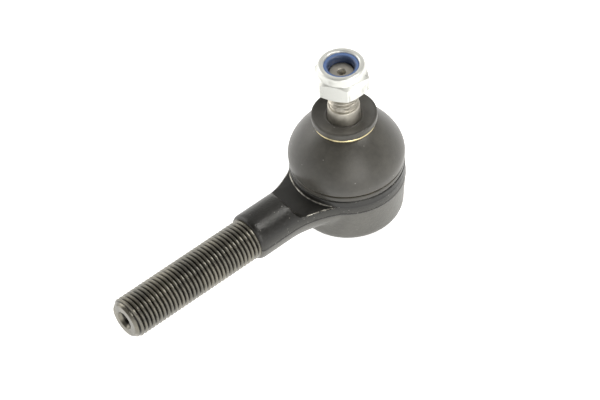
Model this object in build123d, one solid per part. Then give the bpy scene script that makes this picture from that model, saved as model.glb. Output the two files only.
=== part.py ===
from build123d import *
import os
from math import atan2, cos, radians, sin, sqrt, tan

# A tie rod end: a forged housing with a threaded shank, and a ball stud that swivels in it.
# Millimetres. The origin is the ball's centre, the stud points along +Z, the shank along +X.

# --- driving dimensions ---

# ball and stud
BALL_DIAMETER = 20.0
BALL_FLAT_DIAMETER = 7.0
NECK_DIAMETER = 10.0
TAPER_LARGE_DIAMETER = 11.8
TAPER_PER_LENGTH = 0.1
TAPER_START_HEIGHT = 17.6
TAPER_LENGTH = 14.0
NECK_FILLET = 1.0
NECK_FLARE_LENGTH = 2.4
TAPER_LAND = 0.8
TAPER_CHAMFER = 0.3
STUD_RELIEF_DIAMETER = 8.4
STUD_RELIEF_LENGTH = 2.0
STUD_THREAD_DIAMETER = 10.0
STUD_THREAD_LENGTH = 12.1
STUD_THREAD_CHAMFER = 0.6
STUD_END_DIAMETER = 7.2
STUD_END_CHAMFER = 1.0
STUD_CENTRE_DIAMETER = 3.4
STUD_CENTRE_PILOT_DIAMETER = 1.6
STUD_CENTRE_PILOT_DEPTH = 1.5
CENTRE_ANGLE = 60.0
DRILL_POINT_ANGLE = 118.0
SWING_CONE = 26.0  # degrees from upright that the housing's mouth leaves free, in any direction

# ball seat, preload spring and closing plate
SEAT_WALL = 2.4
SEAT_PARTING_HEIGHT = -1.0
SEAT_PARTING_GAP = 0.4
SEAT_FLOOR = 1.4
SEAT_CHAMFER = 0.5
SEAT_GREASE_HOLE_DIAMETER = 3.0
SEAT_LIP_DROP = 1.0
SPRING_THICKNESS = 0.6
SPRING_CONE_HEIGHT = 0.4
SPRING_HOLE_DIAMETER = 8.4
SPRING_RIM_CLEARANCE = 2.6
PLATE_THICKNESS = 1.2
PLATE_LEDGE = 0.9
PLATE_DISH_DEPTH = 0.4
PLATE_DISH_MARGIN = 1.2
PLATE_DISH_SLOPE = 1.2
ROLLED_LIP_THICKNESS = 0.8
ROLLED_LIP_OVERHANG = 1.1
ROLLED_LIP_FLARE = 0.3

# housing
CUP_WALL = 6.6
CUP_BOTTOM_TAPER = 1.1
CUP_BOTTOM_ROUND = 2.6
PARTING_STEP = 0.1  # how far the lower half of the forging stands out under its parting line
RIM_HEIGHT = 5.3
RIM_CHAMFER = 0.4
COLLAR_STEP = 2.6
COLLAR_LEDGE = 2.7
COLLAR_BEAD = 0.35
MOUTH_LIFT = 0.8  # how far the mouth's edge stands off the ball
MOUTH_CLEARANCE = 0.6
RELIEF_FLOOR_HEIGHT = 2.9
RELIEF_WIDTH = 9.3
NECK_ROOT_WIDTH = 28.4
NECK_ROOT_HEIGHT = 20.4
NECK_ROOT_X = 12.0
NECK_FLARE_POWER = 1.8
NECK_SECTIONS = 6

# shank
SHANK_LENGTH = 93.4
SHANK_THREAD_DIAMETER = 14.0
SHANK_THREAD_LENGTH = 50.4
SHANK_END_DIAMETER = 11.2
SHANK_END_CHAMFER = 1.7
SHOULDER_DIAMETER = 16.1
SHOULDER_ROUND = 1.1
CENTRE_HOLE_DIAMETER = 6.5
CENTRE_PILOT_DIAMETER = 2.5
CENTRE_PILOT_DEPTH = 4.0

# dust boot and its wire rings
BOOT_WALL = 1.6
BOOT_OVERHANG = 0.15
BOOT_LIP_HEIGHT = 1.75
BOOT_LIP_CHAMFER = 0.4
BOOT_GROOVE_DEPTH = 1.3
BOOT_GROOVE_HEIGHT = 1.25
BOOT_SHOULDER_HEIGHT = 10.0
BOOT_TOP_HEIGHT = 23.8
BOOT_NECK_RADIUS = 9.25
FLANGE_DIAMETER = 21.4
FLANGE_UNDERSIDE_HEIGHT = 24.9
FLANGE_RIM_HEIGHT = 27.5
FLANGE_DISH_DEPTH = 1.2
FLANGE_RIM_WIDTH = 1.5
FLANGE_RIM_ROUND = 0.5
FLANGE_DISH_SLOPE = 1.4
WIRE_DIAMETER = 1.0

# lock nut
NUT_ACROSS_FLATS = 16.0
NUT_BASE_HEIGHT = 39.8
NUT_HEX_HEIGHT = 7.2
NUT_HEIGHT = 9.4
NUT_COLLAR_DIAMETER = 15.4
NUT_COLLAR_LAND = 0.5
NUT_CRIMP_DIAMETER = 11.9
NUT_CRIMP_THICKNESS = 0.8
NUT_CHAMFER_ANGLE = 30.0
NUT_BORE_CHAMFER = 0.8
INSERT_DIAMETER = 13.6
INSERT_BORE_DIAMETER = 8.3
INSERT_HEIGHT = 2.9
INSERT_CHAMFER = 0.3

# clearances
RUNNING = 0.03  # radial, between pieces that turn on each other
SOFT_GAP = 0.06  # between the rubber and what it hugs

# --- sizes that follow ---

BALL_RADIUS = BALL_DIAMETER / 2
NECK_RADIUS = NECK_DIAMETER / 2
TAPER_TOP_HEIGHT = TAPER_START_HEIGHT + TAPER_LENGTH
TAPER_SMALL_DIAMETER = TAPER_LARGE_DIAMETER - TAPER_PER_LENGTH * TAPER_LENGTH
STUD_THREAD_START = TAPER_TOP_HEIGHT + STUD_RELIEF_LENGTH
STUD_TOP = STUD_THREAD_START + STUD_THREAD_LENGTH

SEAT_INNER = BALL_RADIUS + RUNNING
SEAT_OUTER = BALL_RADIUS + SEAT_WALL
SEAT_BOTTOM = -SEAT_INNER - SEAT_FLOOR
PLATE_TOP = SEAT_BOTTOM - SPRING_THICKNESS - SPRING_CONE_HEIGHT
PLATE_RADIUS = SEAT_OUTER + PLATE_LEDGE
CUP_BOTTOM = PLATE_TOP - PLATE_THICKNESS - ROLLED_LIP_THICKNESS

CUP_RADIUS = SEAT_OUTER + CUP_WALL
COLLAR_RADIUS = CUP_RADIUS - COLLAR_STEP
RELIEF_RADIUS = CUP_RADIUS + RELIEF_WIDTH
SHANK_THREAD_START = SHANK_LENGTH - SHANK_THREAD_LENGTH


def mouth_reach(height):
    """The housing's opening at this height: the neck at the end of its swing, and a clearance."""
    lean = radians(SWING_CONE)
    return height * tan(lean) + NECK_RADIUS / cos(lean) + MOUTH_CLEARANCE


def height_where_mouth_meets(radius):
    """The height at which the opening's edge is this far from the ball's centre."""
    slope, foot = tan(radians(SWING_CONE)), mouth_reach(0)
    spread = 1 + slope**2
    return (sqrt((slope * foot) ** 2 + spread * (radius**2 - foot**2)) - slope * foot) / spread


MOUTH_HEIGHT = height_where_mouth_meets(BALL_RADIUS + MOUTH_LIFT)
COLLAR_HEIGHT = MOUTH_HEIGHT + COLLAR_LEDGE
MOUTH_RADIUS = mouth_reach(MOUTH_HEIGHT)
COLLAR_MOUTH_RADIUS = mouth_reach(COLLAR_HEIGHT)
SEAT_SHOULDER_HEIGHT = MOUTH_HEIGHT - (SEAT_OUTER - MOUTH_RADIUS)


def taper_radius(height):
    return TAPER_LARGE_DIAMETER / 2 - TAPER_PER_LENGTH / 2 * (height - TAPER_START_HEIGHT)


def turned(*edges):
    """A solid turned round the Z axis. The edges join into a closed outline in (radius, height)."""
    return revolve(Plane.XZ * make_face(Curve() + list(edges)), Axis.Z)


def turned_polygon(*points):
    return turned(Polyline(*points, close=True))


def centre_drilling(length, diameter, pilot_diameter, pilot_depth):
    """What a centre drill takes out of a turned end at this length up the Z axis."""
    slope = tan(radians(CENTRE_ANGLE / 2))
    pilot = pilot_diameter / 2
    pilot_top = length - (diameter - pilot_diameter) / 2 / slope
    pilot_floor = pilot_top - pilot_depth
    return turned_polygon(
        (0, length + 1),
        (diameter / 2 + slope, length + 1),
        (pilot, pilot_top),
        (pilot, pilot_floor),
        (0, pilot_floor - pilot / tan(radians(DRILL_POINT_ANGLE / 2))),
    )


# --- the forged housing and its shank ---


def make_cup():
    """The outside of the round cup, a little drafted below its middle and rounded at the bottom."""
    foot = CUP_RADIUS - CUP_BOTTOM_TAPER
    round_start = CUP_BOTTOM + CUP_BOTTOM_ROUND
    bend = CUP_BOTTOM_ROUND * (1 - sqrt(0.5))
    return turned(
        Polyline(
            (0, CUP_BOTTOM),
            (foot - CUP_BOTTOM_ROUND, CUP_BOTTOM),
        ),
        ThreePointArc(
            (foot - CUP_BOTTOM_ROUND, CUP_BOTTOM),
            (foot - bend, CUP_BOTTOM + bend),
            (foot, round_start),
        ),
        Polyline(
            (foot, round_start),
            (CUP_RADIUS + PARTING_STEP, 0),
            (CUP_RADIUS, RELIEF_FLOOR_HEIGHT),
            (CUP_RADIUS, COLLAR_HEIGHT),
            (0, COLLAR_HEIGHT),
            (0, CUP_BOTTOM),
        ),
    )


def make_neck():
    """The flared neck that carries the shank, from inside the cup to the shoulder."""
    end_x = RELIEF_RADIUS + 1.0
    sections = []
    for number in range(NECK_SECTIONS):
        share = number / (NECK_SECTIONS - 1)
        flare = share**NECK_FLARE_POWER
        half_width = SHOULDER_DIAMETER / 2 + (NECK_ROOT_WIDTH - SHOULDER_DIAMETER) / 2 * flare
        half_height = SHOULDER_DIAMETER / 2 + (NECK_ROOT_HEIGHT - SHOULDER_DIAMETER) / 2 * flare
        plane = Plane.YZ.offset(end_x + (NECK_ROOT_X - end_x) * share)
        sections.append(plane * Ellipse(half_width, half_height))
    return loft(sections)


def make_shank():
    """The shoulder and the threaded end, at its major diameter, turned and laid along +X."""
    shoulder = SHOULDER_DIAMETER / 2
    thread = SHANK_THREAD_DIAMETER / 2
    bend = SHOULDER_ROUND * (1 - sqrt(0.5))
    start = RELIEF_RADIUS
    upright = turned(
        Polyline((0, start), (shoulder, start), (shoulder, SHANK_THREAD_START - SHOULDER_ROUND)),
        ThreePointArc(
            (shoulder, SHANK_THREAD_START - SHOULDER_ROUND),
            (shoulder - bend, SHANK_THREAD_START - bend),
            (shoulder - SHOULDER_ROUND, SHANK_THREAD_START),
        ),
        Polyline(
            (shoulder - SHOULDER_ROUND, SHANK_THREAD_START),
            (thread, SHANK_THREAD_START),
            (thread, SHANK_LENGTH - SHANK_END_CHAMFER),
            (SHANK_END_DIAMETER / 2, SHANK_LENGTH),
            (0, SHANK_LENGTH),
            (0, start),
        ),
    )
    upright -= centre_drilling(
        SHANK_LENGTH, CENTRE_HOLE_DIAMETER, CENTRE_PILOT_DIAMETER, CENTRE_PILOT_DEPTH
    )
    return upright.rotate(Axis.Y, 90)


def turning_cut():
    """What the lathe takes off the top: the relief floor, the rim, and the groove for the boot."""
    above = COLLAR_HEIGHT + SHOULDER_DIAMETER
    return turned_polygon(
        (CUP_RADIUS, RELIEF_FLOOR_HEIGHT),
        (RELIEF_RADIUS, RELIEF_FLOOR_HEIGHT),
        (RELIEF_RADIUS, above),
        (0, above),
        (0, COLLAR_HEIGHT),
        (COLLAR_RADIUS, COLLAR_HEIGHT),
        (COLLAR_RADIUS + COLLAR_BEAD, COLLAR_HEIGHT - COLLAR_BEAD),
        (COLLAR_RADIUS, COLLAR_HEIGHT - 2 * COLLAR_BEAD),
        (COLLAR_RADIUS, RIM_HEIGHT),
        (CUP_RADIUS - RIM_CHAMFER, RIM_HEIGHT),
        (CUP_RADIUS, RIM_HEIGHT - RIM_CHAMFER),
    )


def cavity_cut():
    """The bore for the ball seat, its conical shoulder, the mouth, and the closing plate's recess."""
    lip = PLATE_RADIUS - ROLLED_LIP_OVERHANG
    return turned_polygon(
        (0, CUP_BOTTOM - 1),
        (lip + ROLLED_LIP_FLARE, CUP_BOTTOM - 1),
        (lip + ROLLED_LIP_FLARE, CUP_BOTTOM),
        (lip, PLATE_TOP - PLATE_THICKNESS),
        (PLATE_RADIUS, PLATE_TOP - PLATE_THICKNESS),
        (PLATE_RADIUS, PLATE_TOP),
        (SEAT_OUTER, PLATE_TOP),
        (SEAT_OUTER, SEAT_SHOULDER_HEIGHT),
        (MOUTH_RADIUS, MOUTH_HEIGHT),
        (COLLAR_MOUTH_RADIUS, COLLAR_HEIGHT),
        (COLLAR_MOUTH_RADIUS, COLLAR_HEIGHT + 1),
        (0, COLLAR_HEIGHT + 1),
    )


def make_housing():
    return make_cup() + make_neck() + make_shank() - turning_cut() - cavity_cut()


# --- inside the housing ---


def make_upper_seat():
    """The polymer half shell over the ball, wedged under the housing's conical shoulder."""
    bottom = SEAT_PARTING_HEIGHT
    lip_height = MOUTH_HEIGHT - SEAT_LIP_DROP
    cone_radius = MOUTH_RADIUS + SEAT_LIP_DROP
    shell = turned_polygon(
        (0, bottom),
        (SEAT_OUTER, bottom),
        (SEAT_OUTER, SEAT_SHOULDER_HEIGHT),
        (cone_radius, lip_height),
        (0, lip_height),
    )
    return shell - Sphere(SEAT_INNER)


def make_lower_seat():
    """The polymer pad under the ball, pressed up by the spring."""
    top = SEAT_PARTING_HEIGHT - SEAT_PARTING_GAP
    pad = turned_polygon(
        (SEAT_GREASE_HOLE_DIAMETER / 2, SEAT_BOTTOM),
        (SEAT_OUTER - SEAT_CHAMFER, SEAT_BOTTOM),
        (SEAT_OUTER - RUNNING, SEAT_BOTTOM + SEAT_CHAMFER),
        (SEAT_OUTER - RUNNING, top),
        (SEAT_GREASE_HOLE_DIAMETER / 2, top),
    )
    return pad - Sphere(SEAT_INNER)


def make_preload_spring():
    """A conical disc spring between the pad and the closing plate."""
    inner = SPRING_HOLE_DIAMETER / 2
    outer = SEAT_OUTER - SPRING_RIM_CLEARANCE
    return turned_polygon(
        (inner, SEAT_BOTTOM),
        (inner, SEAT_BOTTOM - SPRING_THICKNESS),
        (outer, PLATE_TOP),
        (outer, PLATE_TOP + SPRING_THICKNESS),
    )


def make_closing_plate():
    """The steel disc that closes the cup, held by the lip rolled over its edge."""
    bottom = PLATE_TOP - PLATE_THICKNESS
    dish = PLATE_RADIUS - ROLLED_LIP_OVERHANG - PLATE_DISH_MARGIN
    return turned_polygon(
        (0, PLATE_TOP),
        (PLATE_RADIUS, PLATE_TOP),
        (PLATE_RADIUS, bottom),
        (dish, bottom),
        (dish - PLATE_DISH_SLOPE, bottom + PLATE_DISH_DEPTH),
        (0, bottom + PLATE_DISH_DEPTH),
    )


# --- the ball stud ---


def make_ball_stud():
    """One turned piece: the ball with its flat, the filleted neck, the taper and the thread."""
    flat = BALL_FLAT_DIAMETER / 2
    fillet_x = NECK_RADIUS + NECK_FILLET
    fillet_z = sqrt((BALL_RADIUS + NECK_FILLET) ** 2 - fillet_x**2)
    touch = BALL_RADIUS / (BALL_RADIUS + NECK_FILLET)
    half_turn = atan2(fillet_z, fillet_x) / 2
    thread = STUD_THREAD_DIAMETER / 2
    relief = STUD_RELIEF_DIAMETER / 2
    flat_height = -sqrt(BALL_RADIUS**2 - flat**2)
    stud = turned(
        Polyline((0, flat_height), (flat, flat_height)),
        ThreePointArc(
            (flat, flat_height), (BALL_RADIUS, 0), (fillet_x * touch, fillet_z * touch)
        ),
        ThreePointArc(
            (fillet_x * touch, fillet_z * touch),
            (fillet_x - NECK_FILLET * cos(half_turn), fillet_z - NECK_FILLET * sin(half_turn)),
            (NECK_RADIUS, fillet_z),
        ),
        Polyline(
            (NECK_RADIUS, fillet_z),
            (NECK_RADIUS, TAPER_START_HEIGHT - NECK_FLARE_LENGTH),
            (TAPER_LARGE_DIAMETER / 2, TAPER_START_HEIGHT - TAPER_LAND),
            (TAPER_LARGE_DIAMETER / 2, TAPER_START_HEIGHT),
            (taper_radius(TAPER_TOP_HEIGHT - TAPER_CHAMFER), TAPER_TOP_HEIGHT - TAPER_CHAMFER),
            (TAPER_SMALL_DIAMETER / 2 - TAPER_CHAMFER, TAPER_TOP_HEIGHT),
            (relief, TAPER_TOP_HEIGHT),
            (relief, STUD_THREAD_START - STUD_THREAD_CHAMFER),
            (thread, STUD_THREAD_START),
            (thread, STUD_TOP - STUD_END_CHAMFER),
            (STUD_END_DIAMETER / 2, STUD_TOP),
            (0, STUD_TOP),
            (0, flat_height),
        ),
    )
    return stud - centre_drilling(
        STUD_TOP, STUD_CENTRE_DIAMETER, STUD_CENTRE_PILOT_DIAMETER, STUD_CENTRE_PILOT_DEPTH
    )


# --- the dust boot and its rings ---

LIP_RADIUS = CUP_RADIUS - BOOT_OVERHANG
LIP_TOP = RIM_HEIGHT + SOFT_GAP + BOOT_LIP_HEIGHT
GROOVE_RADIUS = LIP_RADIUS - BOOT_GROOVE_DEPTH
GROOVE_TOP = LIP_TOP + BOOT_GROOVE_HEIGHT
DOME_RADIUS = CUP_RADIUS + BOOT_OVERHANG
LOWER_WIRE_RADIUS = GROOVE_RADIUS + SOFT_GAP + WIRE_DIAMETER / 2
LOWER_WIRE_HEIGHT = (LIP_TOP + GROOVE_TOP) / 2
UPPER_WIRE_RADIUS = BOOT_NECK_RADIUS + SOFT_GAP + WIRE_DIAMETER / 2
UPPER_WIRE_HEIGHT = (BOOT_TOP_HEIGHT + FLANGE_UNDERSIDE_HEIGHT) / 2


def dome_curve(wall):
    """The dome from its widest ring up to the flange's neck, moved in by this wall.

    The wall is measured inwards at the widest ring and turns to point down at the neck.
    """
    rise = BOOT_TOP_HEIGHT - BOOT_SHOULDER_HEIGHT
    run = DOME_RADIUS - BOOT_NECK_RADIUS
    stations = ((0, 0), (0.09, 0.25), (0.27, 0.47), (0.52, 0.71), (0.78, 0.9), (1, 1))
    points = []
    for number, (inward, upward) in enumerate(stations):
        facing = radians(90 * number / (len(stations) - 1))
        points.append(
            (
                DOME_RADIUS - run * inward - wall * cos(facing),
                BOOT_SHOULDER_HEIGHT + rise * upward - wall * sin(facing),
            )
        )
    return Spline(*points, tangents=((0, 1), (-1, 0.35)))


def make_boot():
    """The rubber boot: a lip over the housing's collar, a dome, a neck and a dished top flange."""
    collar = COLLAR_RADIUS + COLLAR_BEAD + SOFT_GAP
    lip_foot = RIM_HEIGHT + SOFT_GAP
    outside = dome_curve(0)
    inside = dome_curve(BOOT_WALL)
    flange = FLANGE_DIAMETER / 2
    dish = FLANGE_RIM_HEIGHT - FLANGE_DISH_DEPTH
    neck_under = BOOT_TOP_HEIGHT - BOOT_WALL
    return turned(
        Polyline(
            inside @ 0,
            (collar, GROOVE_TOP),
            (collar, lip_foot),
            (LIP_RADIUS - BOOT_LIP_CHAMFER, lip_foot),
            (LIP_RADIUS, lip_foot + BOOT_LIP_CHAMFER),
            (LIP_RADIUS, LIP_TOP),
            (GROOVE_RADIUS, LIP_TOP),
            (GROOVE_RADIUS, GROOVE_TOP),
            (DOME_RADIUS - BOOT_LIP_CHAMFER, GROOVE_TOP),
            outside @ 0,
        ),
        outside,
        Polyline(
            outside @ 1,
            (BOOT_NECK_RADIUS, FLANGE_UNDERSIDE_HEIGHT),
            (flange - FLANGE_RIM_ROUND, FLANGE_UNDERSIDE_HEIGHT),
            (flange, FLANGE_UNDERSIDE_HEIGHT + FLANGE_RIM_ROUND),
            (flange, FLANGE_RIM_HEIGHT - FLANGE_RIM_ROUND),
            (flange - FLANGE_RIM_ROUND, FLANGE_RIM_HEIGHT),
            (flange - FLANGE_RIM_WIDTH, FLANGE_RIM_HEIGHT),
            (flange - FLANGE_RIM_WIDTH - FLANGE_DISH_SLOPE, dish),
            (taper_radius(dish) + SOFT_GAP, dish),
            (taper_radius(neck_under) + SOFT_GAP, neck_under),
            inside @ 1,
        ),
        inside,
    )


def wire_ring(radius, height):
    return Pos(0, 0, height) * Torus(radius, WIRE_DIAMETER / 2)


# --- the lock nut ---


def make_nut_body():
    """The steel hexagon and the collar that is crimped over the nylon ring."""
    base, top = NUT_BASE_HEIGHT, NUT_BASE_HEIGHT + NUT_HEIGHT
    hex_top = base + NUT_HEX_HEIGHT
    land_top = hex_top + NUT_COLLAR_LAND
    flats = NUT_ACROSS_FLATS / 2
    corner = flats / cos(radians(30))
    collar = NUT_COLLAR_DIAMETER / 2
    crimp = NUT_CRIMP_DIAMETER / 2
    drop = (corner - collar) * tan(radians(NUT_CHAMFER_ANGLE))
    crest = (collar + crimp) / 2
    bulge = sqrt(0.5)
    blank = Pos(0, 0, base) * extrude(RegularPolygon(flats, 6, major_radius=False), NUT_HEIGHT)
    envelope = turned(
        Polyline(
            (0, base),
            (collar, base),
            (corner, base + drop),
            (corner, hex_top - drop),
            (collar, hex_top),
            (collar, land_top),
        ),
        ThreePointArc(
            (collar, land_top),
            (crest + (collar - crest) * bulge, land_top + (top - land_top) * bulge),
            (crest, top),
        ),
        Polyline(
            (crest, top),
            (crimp, top - NUT_CRIMP_THICKNESS / 2),
            (crimp, top - NUT_CRIMP_THICKNESS),
            (0, top - NUT_CRIMP_THICKNESS),
            (0, base),
        ),
    )
    bore = STUD_THREAD_DIAMETER / 2 + RUNNING
    pocket = INSERT_DIAMETER / 2 + RUNNING
    pocket_top = top - NUT_CRIMP_THICKNESS
    pocket_floor = pocket_top - INSERT_HEIGHT - RUNNING
    inside = turned_polygon(
        (0, base - 1),
        (bore + NUT_BORE_CHAMFER, base - 1),
        (bore + NUT_BORE_CHAMFER, base),
        (bore, base + NUT_BORE_CHAMFER),
        (bore, pocket_floor),
        (pocket, pocket_floor),
        (pocket, pocket_top),
        (0, pocket_top),
    )
    return (blank & envelope) - inside


def make_nylon_insert():
    """The nylon locking ring, just reached by the stud's end."""
    top = NUT_BASE_HEIGHT + NUT_HEIGHT - NUT_CRIMP_THICKNESS - RUNNING / 2
    outer, bore = INSERT_DIAMETER / 2, INSERT_BORE_DIAMETER / 2
    return turned_polygon(
        (bore, top - INSERT_HEIGHT + INSERT_CHAMFER),
        (bore + INSERT_CHAMFER, top - INSERT_HEIGHT),
        (outer, top - INSERT_HEIGHT),
        (outer, top),
        (bore + INSERT_CHAMFER, top),
        (bore, top - INSERT_CHAMFER),
    )


NODES = {
    "housing": make_housing,
    "upper_seat": make_upper_seat,
    "lower_seat": make_lower_seat,
    "preload_spring": make_preload_spring,
    "closing_plate": make_closing_plate,
    "ball_stud": make_ball_stud,
    "dust_boot": make_boot,
    "lower_clamp_ring": lambda: wire_ring(LOWER_WIRE_RADIUS, LOWER_WIRE_HEIGHT),
    "upper_clamp_ring": lambda: wire_ring(UPPER_WIRE_RADIUS, UPPER_WIRE_HEIGHT),
    "nut_body": make_nut_body,
    "nylon_insert": make_nylon_insert,
}

os.makedirs("parts", exist_ok=True)
for name, make in NODES.items():
    export_step(make(), f"parts/{name}.step")
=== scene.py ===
import math

import bmesh
import bpy
from bmesh.types import BMEdge, BMVert
from bpy.props import FloatProperty, FloatVectorProperty, IntProperty, PointerProperty
from mathutils import Matrix, Vector
from mathutils.geometry import interpolate_bezier


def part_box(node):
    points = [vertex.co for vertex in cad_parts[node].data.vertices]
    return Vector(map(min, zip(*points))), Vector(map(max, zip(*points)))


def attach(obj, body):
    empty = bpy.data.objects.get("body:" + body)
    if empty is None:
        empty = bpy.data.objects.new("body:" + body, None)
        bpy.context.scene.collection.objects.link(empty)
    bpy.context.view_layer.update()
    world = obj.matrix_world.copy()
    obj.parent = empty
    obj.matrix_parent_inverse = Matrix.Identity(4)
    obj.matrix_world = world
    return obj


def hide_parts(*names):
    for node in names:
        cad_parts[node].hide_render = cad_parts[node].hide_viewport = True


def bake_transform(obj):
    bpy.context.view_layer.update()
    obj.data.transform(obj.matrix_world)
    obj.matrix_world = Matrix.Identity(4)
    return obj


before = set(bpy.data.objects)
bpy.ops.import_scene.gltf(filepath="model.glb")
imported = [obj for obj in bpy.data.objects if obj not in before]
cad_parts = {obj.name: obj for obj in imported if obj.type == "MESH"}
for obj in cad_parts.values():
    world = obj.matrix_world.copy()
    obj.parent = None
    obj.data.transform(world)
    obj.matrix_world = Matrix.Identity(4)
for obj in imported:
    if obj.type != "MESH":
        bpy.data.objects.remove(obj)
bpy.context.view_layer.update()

bl_info = {
    "name": "Tie Rod End",
    "version": (1, 0, 0),
    "blender": (4, 5, 0),
    "location": "View3D > Sidebar > Tie Rod",
    "description": "Builds the detailed pieces of a tie rod end around its packed frame",
    "category": "Object",
}

MM = 0.001
TURN = 2 * math.pi
UP = (0, 0, 1)

housing_low, housing_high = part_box("housing")
boot_low, boot_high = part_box("dust_boot")
stud_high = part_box("ball_stud")[1]
nut_low, nut_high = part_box("nut_body")
insert_low, insert_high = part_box("nylon_insert")
plate_low, plate_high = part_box("closing_plate")
upper_ring_low, upper_ring_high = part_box("upper_clamp_ring")
lower_ring_low, lower_ring_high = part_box("lower_clamp_ring")

# The forged neck runs between these, and the turned shank takes over at the join.
NECK_START, NECK_END, SHANK_JOIN = 12.0 * MM, 38.0 * MM, 36.0 * MM
# Where moulding pips stand round the boot's flange, in degrees from the shank.
PIP_BEARINGS = (-27, 28, 84, 117, 131, 203, 266)


# --- settings ---


def distance(name, description, default):
    return FloatProperty(
        name=name, description=description, default=default, min=0.0, precision=5,
        subtype="DISTANCE", unit="LENGTH",
    )


def angle(name, description, degrees):
    return FloatProperty(name=name, description=description, default=math.radians(degrees), subtype="ANGLE")


def colour(name, description, default):
    return FloatVectorProperty(
        name=name, description=description, default=default, size=3, min=0.0, max=1.0, subtype="COLOR"
    )


class HousingSettings(bpy.types.PropertyGroup):
    cup_radius: distance("Cup Radius", "Radius of the cup at the forging's parting line", -housing_low.x)
    rim_radius: distance("Rim Radius", "Radius of the turned rim under the boot's lip", 19.0 * MM)
    rim_height: distance("Rim Height", "Height of the turned rim", 5.3 * MM)
    relief_height: distance("Relief Height", "Height of the turned floor beside the rim", 2.9 * MM)
    relief_radius: distance("Relief Radius", "Outer radius of the turned floor", 28.3 * MM)
    collar_height: distance("Collar Height", "Top of the collar inside the boot", housing_high.z)
    collar_radius: distance("Collar Radius", "Radius of the collar inside the boot", 16.4 * MM)
    shoulder_radius: distance("Shoulder Radius", "Radius of the neck's round end", 8.05 * MM)
    shank_length: distance("Shank Length", "Length from the ball's centre to the tip", housing_high.x)
    thread_length: distance("Thread Length", "Length of the threaded part", 50.4 * MM)
    thread_radius: distance("Thread Radius", "Radius over the thread's crests", 7.0 * MM)
    thread_pitch: distance("Thread Pitch", "Advance of the thread in one turn", 1.5 * MM)
    forging_voxel: distance("Forging Voxel", "Size of the mesh that rounds the forging", 0.42 * MM)
    forging_rounds: IntProperty(
        name="Forging Rounds", description="Smoothing passes over the forging", default=9, min=0
    )
    flash_width: distance("Flash Width", "Width of the trimmed flash at the parting line", 0.7 * MM)
    flash_depth: distance("Flash Depth", "How far the trimmed flash stands out", 0.08 * MM)


class StudSettings(bpy.types.PropertyGroup):
    ball_radius: distance("Ball Radius", "Radius of the ball", stud_high.x)
    neck_radius: distance("Neck Radius", "Radius of the neck above the ball", 5.0 * MM)
    taper_radius: distance("Taper Radius", "Radius of the taper's large end", 5.9 * MM)
    thread_radius: distance("Thread Radius", "Radius over the thread's crests", 5.0 * MM)
    thread_pitch: distance("Thread Pitch", "Advance of the thread in one turn", 1.5 * MM)
    top: distance("Top", "Height of the stud's end", stud_high.z)


class BootSettings(bpy.types.PropertyGroup):
    dome_radius: distance("Dome Radius", "Largest radius of the dome", boot_high.x)
    flange_radius: distance("Flange Radius", "Radius of the top flange", 10.7 * MM)
    flange_height: distance("Flange Height", "Height of the flange's rim", boot_high.z)
    neck_radius: distance("Neck Radius", "Radius under the flange", 9.25 * MM)
    bend_height: distance("Bend Height", "Height where the two swings of the boot meet", 16.0 * MM)
    wire_radius: distance("Wire Radius", "Radius of the clamp rings' wire", 0.5 * MM)


class NutSettings(bpy.types.PropertyGroup):
    half_flats: distance("Half Across Flats", "From the axis to a flat", nut_high.y)
    base: distance("Base", "Height of the nut's foot", nut_low.z)
    top: distance("Top", "Height of the crimped collar", nut_high.z)
    collar_radius: distance("Collar Radius", "Radius of the collar over the hexagon", 7.7 * MM)
    lip_radius: distance("Lip Radius", "Radius of the opening in the crimped lip", 5.7 * MM)


class FinishSettings(bpy.types.PropertyGroup):
    coat: colour("Black Coat", "Coating of the forging", (0.0122, 0.012, 0.0108))
    coat_worn: colour("Worn Coat", "Coating where it is rubbed", (0.27, 0.26, 0.235))
    oil: colour("Oiled Thread", "Thread's steel under oil", (0.11, 0.107, 0.094))
    rubber: colour("Rubber", "Boot's rubber", (0.046, 0.0435, 0.037))
    bloom: colour("Bloom", "Pale bloom and dust on the rubber", (0.19, 0.185, 0.17))
    zinc: colour("Zinc", "Nut's plating", (0.66, 0.67, 0.64))
    scuff: colour("Scuff", "Handling marks on the nut", (0.42, 0.42, 0.4))
    nylon: colour("Nylon", "Locking ring", (0.035, 0.06, 0.13))
    nylon_worn: colour("Worn Nylon", "Edges of the locking ring", (0.16, 0.25, 0.42))
    steel: colour("Steel", "Stud's ground steel", (0.5, 0.475, 0.42))
    steel_worn: colour("Bright Steel", "Edges of the stud", (0.8, 0.78, 0.73))
    brass: colour("Brass", "Clamp rings' plating", (0.83, 0.72, 0.42))
    polymer: colour("Polymer", "Ball seats", (0.82, 0.8, 0.73))
    phosphate: colour("Phosphate", "Preload spring", (0.2, 0.205, 0.215))


class StudioSettings(bpy.types.PropertyGroup):
    azimuth: angle("Azimuth", "Camera's bearing from the shank's direction", 52.70)
    elevation: angle("Elevation", "Camera's height over the horizon", 46.96)
    roll: angle("Roll", "Camera's turn about its own line of sight", -4.66)
    camera_distance: distance("Distance", "From the camera to its aim", 0.8422)
    lens: FloatProperty(name="Lens", description="Focal length in millimetres", default=153.9)
    aim: FloatVectorProperty(
        name="Aim", description="Point in the middle of the view", size=3, subtype="XYZ", unit="LENGTH",
        default=(16.605 * MM, -5.192 * MM, -5.539 * MM),
    )
    floor_colour: colour("Floor", "Pale floor", (0.9, 0.9, 0.89))


class TieRodSettings(bpy.types.PropertyGroup):
    housing: PointerProperty(type=HousingSettings)
    stud: PointerProperty(type=StudSettings)
    boot: PointerProperty(type=BootSettings)
    nut: PointerProperty(type=NutSettings)
    finish: PointerProperty(type=FinishSettings)
    studio: PointerProperty(type=StudioSettings)


# --- mesh helpers ---


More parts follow.
